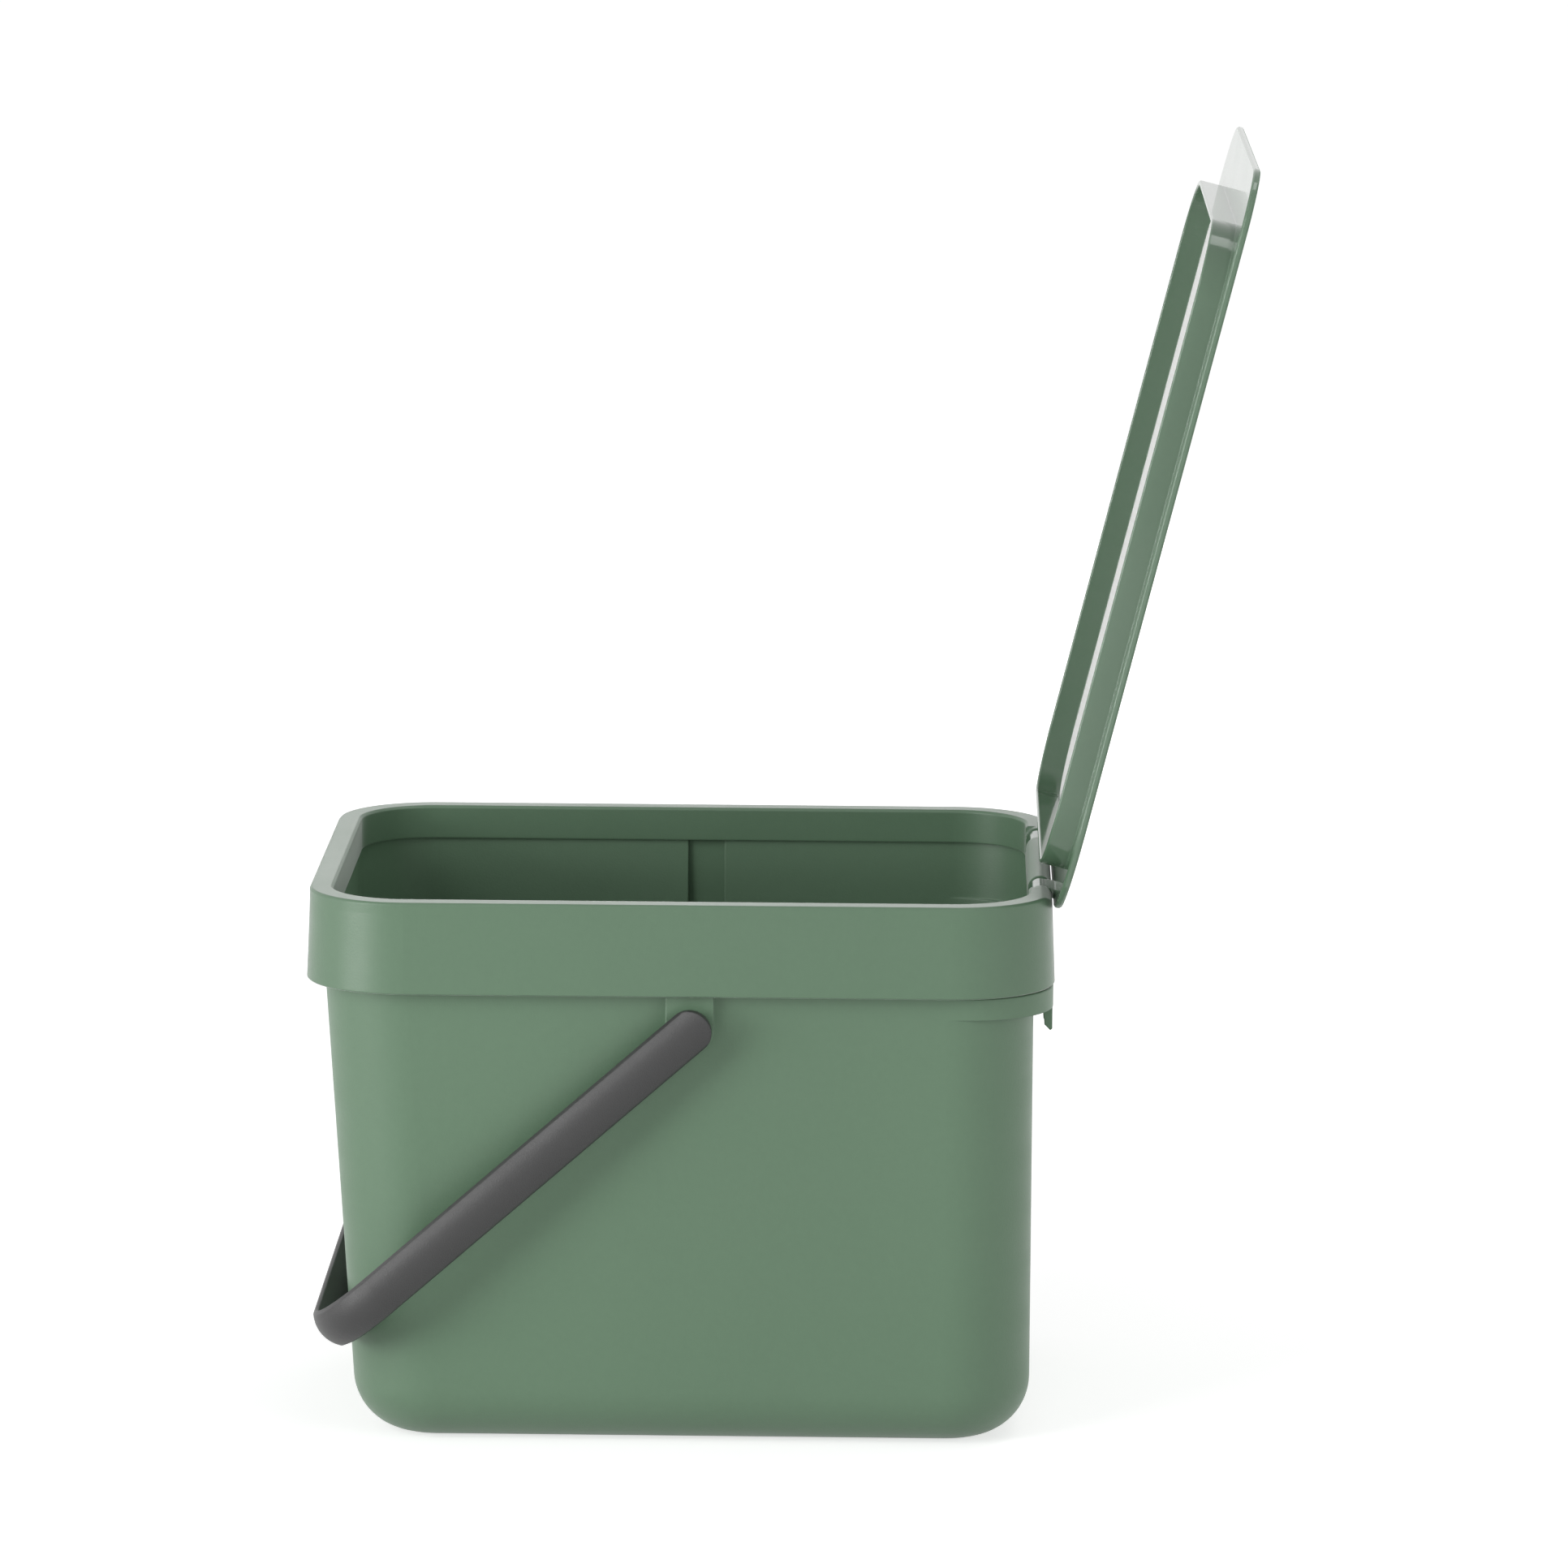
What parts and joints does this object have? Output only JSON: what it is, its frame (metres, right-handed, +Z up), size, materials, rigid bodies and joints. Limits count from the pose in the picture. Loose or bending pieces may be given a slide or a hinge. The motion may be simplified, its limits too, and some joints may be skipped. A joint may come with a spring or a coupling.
{
  "type": "kitchen waste caddy",
  "caption": "Small tapered kitchen waste caddy with a loose rim collar that traps the bag, a hinged lid with a front lip, a bail handle and a rear hanging tab.",
  "frame": {"origin": "on the base's resting face, under the middle of the collar", "axes": "+Z up, -Y towards the front lip, +Y towards the hinge and hanging tab, +X to the bin's right"},
  "size_m": [0.2126, 0.3167, 0.4339],
  "materials": {
    "bucket_green": "fine moulded texture, satin",
    "collar_green": "fine moulded texture, satin",
    "lid_green": "smooth, semi-gloss",
    "handle_grey": "fine moulded texture, matt"
  },
  "bodies": {
    "bucket": {"bucket": "bucket_green"},
    "rim_collar": {"rim_collar": "collar_green"},
    "lid": {"lid": "lid_green"},
    "handle": {"handle": "handle_grey"}
  },
  "joints": [
    {"name": "collar_lift", "type": "slide", "parent": "bucket", "child": "rim_collar", "axis": [0, 0, 1], "range_m": [0, 0.05]},
    {"name": "lid_hinge", "type": "hinge", "parent": "rim_collar", "child": "lid", "pos_m": [0, 0.121, 0.185], "axis": [1, 0, 0], "range_deg": [0, 104.2]},
    {"name": "handle_swing", "type": "hinge", "parent": "bucket", "child": "handle", "pos_m": [0, 0.004, 0.1465], "axis": [-1, 0, 0], "range_deg": [0, 161]}
  ]
}
